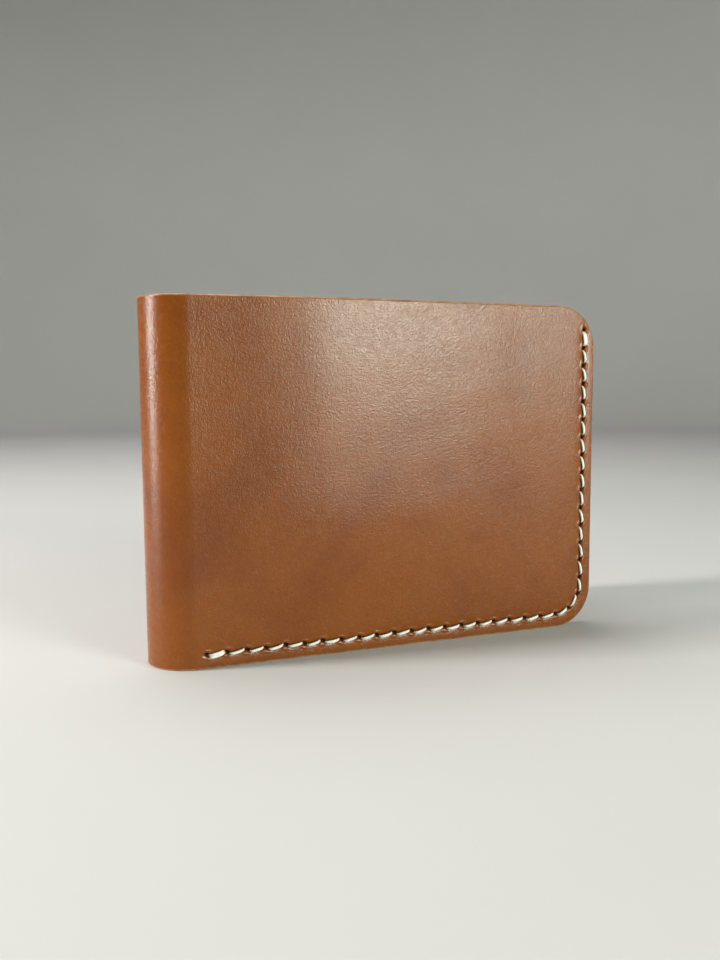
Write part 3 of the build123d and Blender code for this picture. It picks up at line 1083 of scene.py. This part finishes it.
def make_threads():
    """Every seam's thread, in both halves."""

    def inner_face(u, rise):
        """Inner surface of the leather that a side or bottom seam comes out of."""
        pocket = pocket_middle(u, rise) - PANEL_THICKNESS / 2
        slots = cash_inside(u, rise) - SLOT_LEATHER
        above = np.where(rise < UPPER_LIP, slots, cash_inside(u, rise))
        return np.where(rise < LOWER_LIP, pocket, above)

    def cash_outer(u, rise):
        return cash_middle(u, rise) + PANEL_THICKNESS / 2

    for side in (FRONT, REAR):
        name = SIDE_NAMES[side]

        def cover_face(u, rise, side=side):
            return SPINE_RADIUS + cover_bow(u, rise) + cover_lie(u, rise, side)

        faces = [(OUT, 1, cover_face), (IN, -1, inner_face)]
        sew(f"{name}_outer_seam_stitches", OUTER_SEAM, faces, side, 70 + side, backstitched=True)
        faces = [(OUT, 1, cash_outer), (IN, -1, inner_face)]
        sew(f"{name}_inner_seam_stitches", INNER_SEAM, faces, side, 80 + side)
        slots = (("upper", UPPER_LIP, UPPER_LEVEL), ("middle", MIDDLE_LIP, MIDDLE_LEVEL))
        for slot_name, lip, level in slots:
            middle = slot_middle(level, lip)

            def slot_face(u, rise, middle=middle):
                return middle(u, rise) - SLOT_LEATHER / 2

            faces = [(OUT, 1, cash_outer), (IN, -1, slot_face)]
            sew(f"{name}_{slot_name}_slot_stitches", foot_seam(lip), faces, side, 90 + side)


# The studio.

FLOOR_RADIUS = 1.25
FLOOR_SIDES = 96
WALL_CURVE = 0.5
WALL_HEIGHT = 1.9


def make_floor():
    """A pale round floor that curves up into a pale wall on every side."""
    profile = [(radius, 0.0) for radius in (0.02, 0.3, 0.7, FLOOR_RADIUS)]
    for angle in np.radians(np.arange(6, 91, 6)):
        out, up = WALL_CURVE * np.sin(angle), WALL_CURVE * (1 - np.cos(angle))
        profile.append((FLOOR_RADIUS + out, up))
    profile.append((FLOOR_RADIUS + WALL_CURVE, WALL_HEIGHT))
    vertices, faces = [], [tuple(range(FLOOR_SIDES))]
    for radius, height in profile:
        for turn in np.arange(FLOOR_SIDES) * 2 * np.pi / FLOOR_SIDES:
            vertices.append((radius * np.cos(turn), radius * np.sin(turn), height))
    for ring in range(len(profile) - 1):
        for i in range(FLOOR_SIDES):
            a, b = ring * FLOOR_SIDES + i, ring * FLOOR_SIDES + (i + 1) % FLOOR_SIDES
            faces.append((a, a + FLOOR_SIDES, b + FLOOR_SIDES, b))
    floor = build_mesh("floor", vertices, faces)
    material, tree, shader = new_material("pale_floor")
    at = tree.nodes.new("ShaderNodeTexCoord").outputs["Object"]
    tone = mix(tree, noise(tree, at, 6.0), (0.60, 0.59, 0.575), (0.64, 0.63, 0.615))
    link(tree, tone, shader.inputs["Base Color"])
    shader.inputs["Roughness"].default_value = 0.75
    shader.inputs["Specular IOR Level"].default_value = 0.2
    floor.data.materials.append(material)


def add_light(name, location, target, size, power, colour=(1, 1, 1)):
    """A soft rectangular light that faces its target."""
    data = bpy.data.lights.new(name, "AREA")
    data.shape = "RECTANGLE"
    data.size, data.size_y = size
    data.energy = power
    data.color = colour
    obj = bpy.data.objects.new(name, data)
    bpy.context.scene.collection.objects.link(obj)
    obj.location = location
    obj.rotation_euler = (Vector(target) - Vector(location)).to_track_quat("-Z", "Y").to_euler()


def make_lights():
    """Two windows, one at the front right and one on the left, with a soft light from above."""
    add_light(
        "window_right", (0.31, -0.85, 0.235), (0, 0, 0.07), (0.34, 0.30), 8.2, (0.88, 1.0, 0.90)
    )
    add_light(
        "window_left", (-0.72, 0.20, 0.30), (-0.05, 0, 0.05), (0.15, 0.60), 8.5, (1.0, 0.98, 0.94)
    )
    add_light("top", (-0.1, 0.40, 1.1), (0, 0.2, 0), (0.8, 0.8), 7.0)
    world = bpy.data.worlds.new("studio")
    bpy.context.scene.world = world
    world.use_nodes = True
    background = world.node_tree.nodes["Background"]
    background.inputs["Color"].default_value = (0.84, 0.83, 0.80, 1)
    background.inputs["Strength"].default_value = 0.09


CAMERA_PLACE = (-0.11612, -0.21639, 0.06766)
CAMERA_YAW = np.radians(27.792)
CAMERA_PITCH = np.radians(5.788)
CAMERA_ROLL = np.radians(-0.362)
CAMERA_LENS = 33.75
SENSOR_WIDTH = 36


def make_camera():
    """The camera at the photograph's viewing angle."""
    level_share = np.cos(CAMERA_PITCH)
    ahead = Vector(
        (np.sin(CAMERA_YAW) * level_share, np.cos(CAMERA_YAW) * level_share, -np.sin(CAMERA_PITCH))
    )
    level = Vector((np.cos(CAMERA_YAW), -np.sin(CAMERA_YAW), 0))
    upright = level.cross(ahead)
    right = level * np.cos(CAMERA_ROLL) + upright * np.sin(CAMERA_ROLL)
    up = upright * np.cos(CAMERA_ROLL) - level * np.sin(CAMERA_ROLL)
    data = bpy.data.cameras.new("camera")
    data.sensor_width = SENSOR_WIDTH
    data.lens = CAMERA_LENS
    data.clip_start = 0.01
    data.clip_end = 20
    camera = bpy.data.objects.new("camera", data)
    bpy.context.scene.collection.objects.link(camera)
    rotation = Matrix((right, up, -ahead)).transposed().to_4x4()
    camera.matrix_world = Matrix.Translation(CAMERA_PLACE) @ rotation
    bpy.context.scene.camera = camera


make_covers()
make_spine()
make_pockets()
make_threads()
make_floor()
make_lights()
make_camera()
bpy.context.scene.view_settings.view_transform = "Standard"
